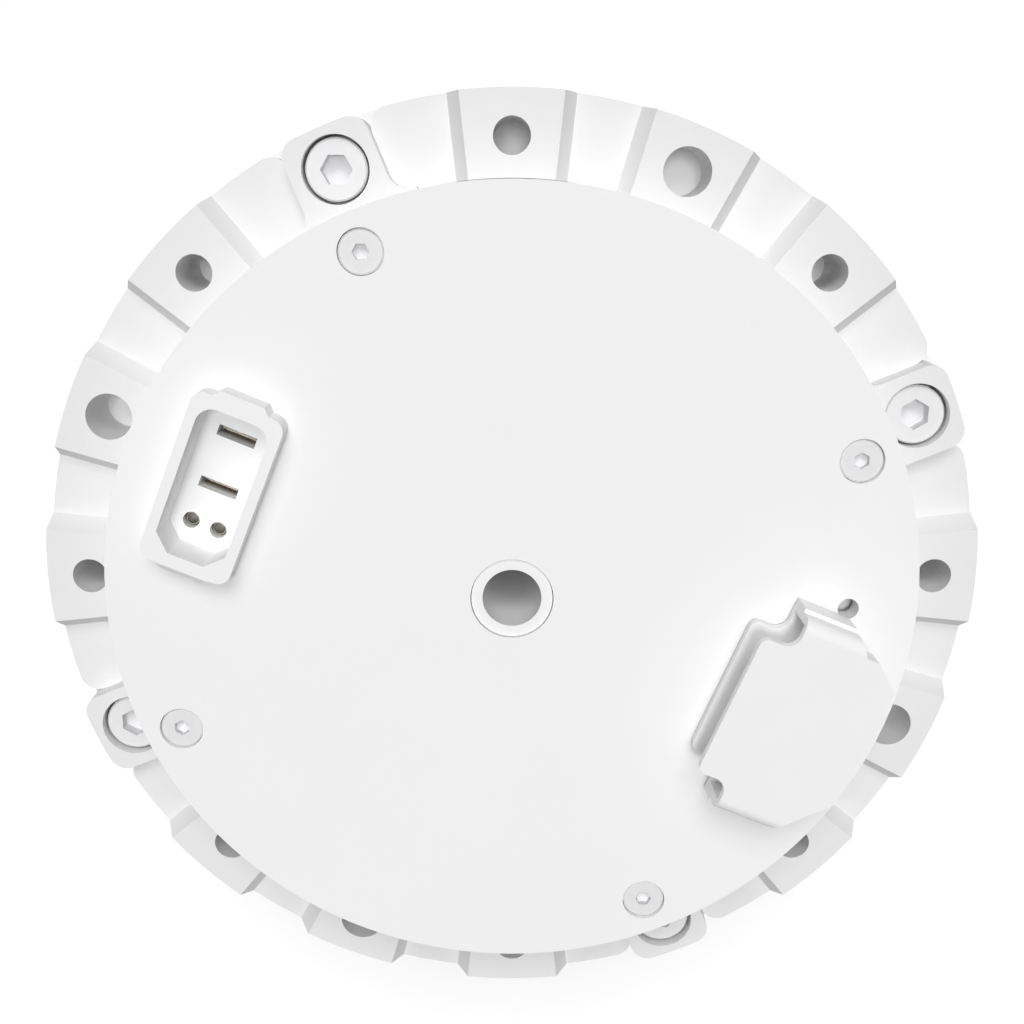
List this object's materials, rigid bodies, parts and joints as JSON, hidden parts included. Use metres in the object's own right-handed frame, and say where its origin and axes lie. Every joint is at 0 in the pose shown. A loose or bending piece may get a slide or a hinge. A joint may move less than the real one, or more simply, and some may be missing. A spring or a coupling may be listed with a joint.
{
  "type": "robot_joint_actuator",
  "caption": "Round robot joint actuator: lugged rear flange, rear cover with connectors and cable bore, inner motor, planetary gears and a turning output flange.",
  "frame": {"origin": "centre of the output flange's outer face, on the actuator's axis", "axes": "+X points from the empty power socket towards the bus plug, +Y across the line of the two connectors, and +Z along the actuator's axis from the output flange to the rear cover"},
  "size_m": [0.088, 0.088, 0.0508],
  "materials": {
    "case_metal": "fine bead-blasted, pale anodised",
    "cover_metal": "fine bead-blasted, pale anodised",
    "flange_metal": "turned and clear anodised",
    "inner_metal": "as machined",
    "screw_steel": "zinc plated",
    "gear_steel": "ground and oiled",
    "bearing_steel": "ground bearing steel",
    "lamination_steel": "stacked sheet edges",
    "magnet_nickel": "nickel plated",
    "coil_copper": "enamelled copper wire",
    "capacitor_metal": "satin can",
    "board_green": "solder mask",
    "chip_black": "moulded epoxy",
    "socket_plastic": "fine moulded satin",
    "plug_plastic": "fine moulded satin",
    "light_plastic": "milky moulded light guide",
    "seal_rubber": "matt nitrile"
  },
  "bodies": {
    "case": {"rear_housing": "case_metal", "front_housing": "case_metal", "rear_cover": "cover_metal", "cover_gasket": "seal_rubber", "cover_screws": "screw_steel", "case_screws": "screw_steel", "stator_core": "lamination_steel", "stator_coils": "coil_copper", "ring_gear": "gear_steel", "gear_partition": "inner_metal", "rear_plate": "inner_metal", "output_bearing_outer": "bearing_steel", "output_seal": "seal_rubber", "front_bearing_outer": "bearing_steel", "front_bearing_shields": "bearing_steel", "rear_bearing_outer": "bearing_steel", "rear_bearing_shields": "bearing_steel", "driver_board": "board_green", "board_screws": "screw_steel", "board_chips": "chip_black", "capacitors": "capacitor_metal", "power_socket": "socket_plastic", "bus_socket": "socket_plastic", "light_guide": "light_plastic"},
    "output": {"output_flange": "flange_metal", "planet_carrier": "gear_steel", "carrier_screws": "screw_steel", "planet_pins": "bearing_steel", "pin_clips": "bearing_steel", "output_bearing_inner": "bearing_steel", "hollow_shaft": "cover_metal"},
    "rotor": {"sun_gear": "gear_steel", "rotor_hub": "inner_metal", "rotor_magnets": "magnet_nickel", "front_bearing_inner": "bearing_steel", "rear_bearing_inner": "bearing_steel", "encoder_magnet": "magnet_nickel"},
    "planet_1": {"planet_gear_1": "gear_steel"},
    "planet_2": {"planet_gear_2": "gear_steel"},
    "planet_3": {"planet_gear_3": "gear_steel"},
    "rollers": {"output_rollers": "bearing_steel"},
    "plug": {"bus_plug": "plug_plastic"}
  },
  "joints": [
    {"name": "output_turn", "type": "hinge", "parent": "case", "child": "output", "pos_m": [0, 0, 0], "axis": [0, 0, 1], "continuous": true},
    {"name": "rotor_turn", "type": "hinge", "parent": "case", "child": "rotor", "pos_m": [0, 0, 0], "axis": [0, 0, 1], "continuous": true},
    {"name": "roller_turn", "type": "hinge", "parent": "case", "child": "rollers", "pos_m": [0, 0, 0], "axis": [0, 0, 1], "continuous": true},
    {"name": "planet_turn_1", "type": "hinge", "parent": "output", "child": "planet_1", "pos_m": [0.018, 0, 0], "axis": [0, 0, 1], "continuous": true},
    {"name": "planet_turn_2", "type": "hinge", "parent": "output", "child": "planet_2", "pos_m": [-0.009, 0.01559, 0], "axis": [0, 0, 1], "continuous": true},
    {"name": "planet_turn_3", "type": "hinge", "parent": "output", "child": "planet_3", "pos_m": [-0.009, -0.01559, 0], "axis": [0, 0, 1], "continuous": true},
    {"name": "plug_pull", "type": "slide", "parent": "case", "child": "plug", "axis": [0, 0, 1], "range_m": [0, 0.005]}
  ],
  "couplings": [
    {"joint": "rotor_turn", "follows": "output_turn", "ratio": 6},
    {"joint": "roller_turn", "follows": "output_turn", "ratio": 0.486},
    {"joint": "planet_turn_1", "follows": "output_turn", "ratio": -2.5},
    {"joint": "planet_turn_2", "follows": "output_turn", "ratio": -2.5},
    {"joint": "planet_turn_3", "follows": "output_turn", "ratio": -2.5}
  ]
}
